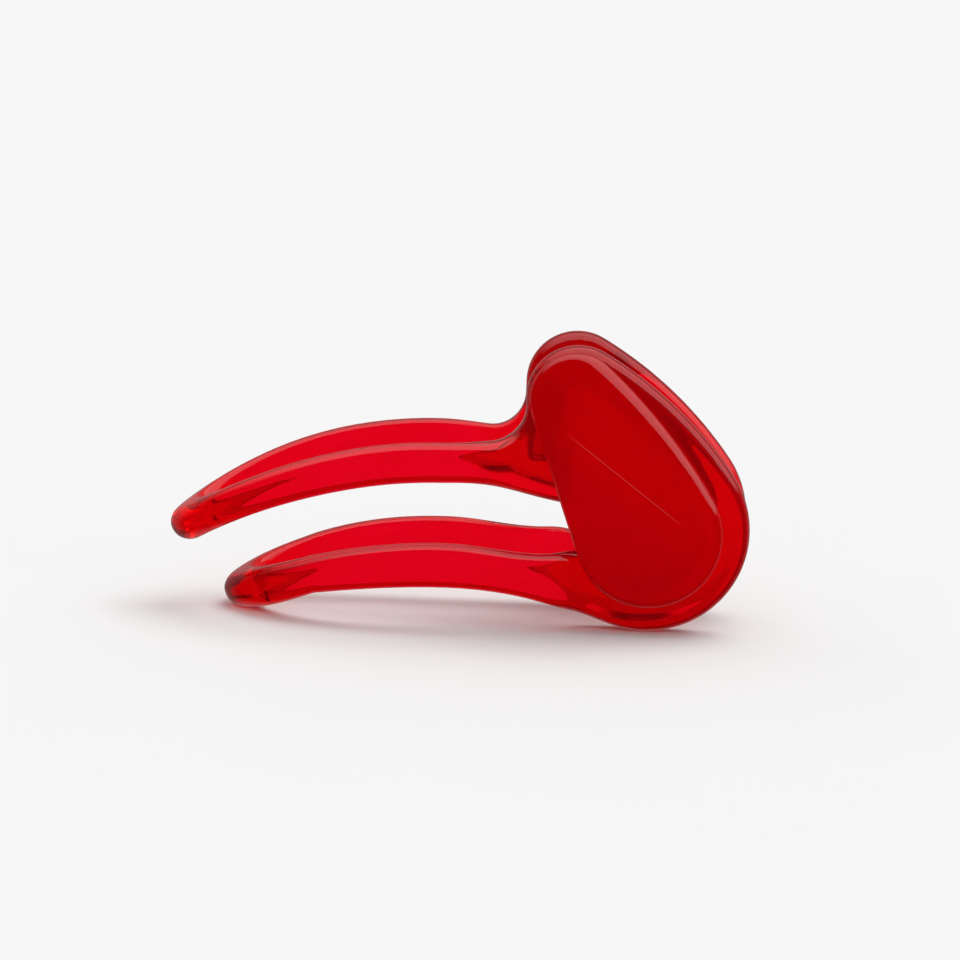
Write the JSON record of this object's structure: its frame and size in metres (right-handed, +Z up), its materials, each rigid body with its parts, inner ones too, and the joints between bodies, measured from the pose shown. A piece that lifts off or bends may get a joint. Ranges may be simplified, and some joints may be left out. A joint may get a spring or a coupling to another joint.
{
  "type": "spring clip",
  "caption": "Transparent red one-colour spring clip: two arched loop prongs that leave an egg-shaped head and open by bending its bows.",
  "frame": {"origin": "centre of the bounding box in X and Y, on the surface that the clip stands on", "axes": "+X from the prong tips to the head, +Y across the clip, +Z up, square to the surface"},
  "size_m": [0.0958, 0.0238, 0.0474],
  "materials": {
    "clear_red": "polished transparent plastic",
    "deep_red": "polished transparent plastic, thick"
  },
  "bodies": {
    "lower_jaw": {"lower_prong": "clear_red", "near_bow": "clear_red", "far_bow": "clear_red", "near_pad": "deep_red", "far_pad": "deep_red"},
    "upper_jaw": {"upper_prong": "clear_red", "head_spacer": "clear_red"}
  },
  "joints": [
    {"name": "jaw_flex", "type": "hinge", "parent": "lower_jaw", "child": "upper_jaw", "pos_m": [0.0428, 0, 0.0233], "axis": [0, 1, 0], "range_deg": [-2.5, 10], "stiffness_Nm_per_rad": 3, "deforming": ["near_bow", "far_bow"]}
  ]
}
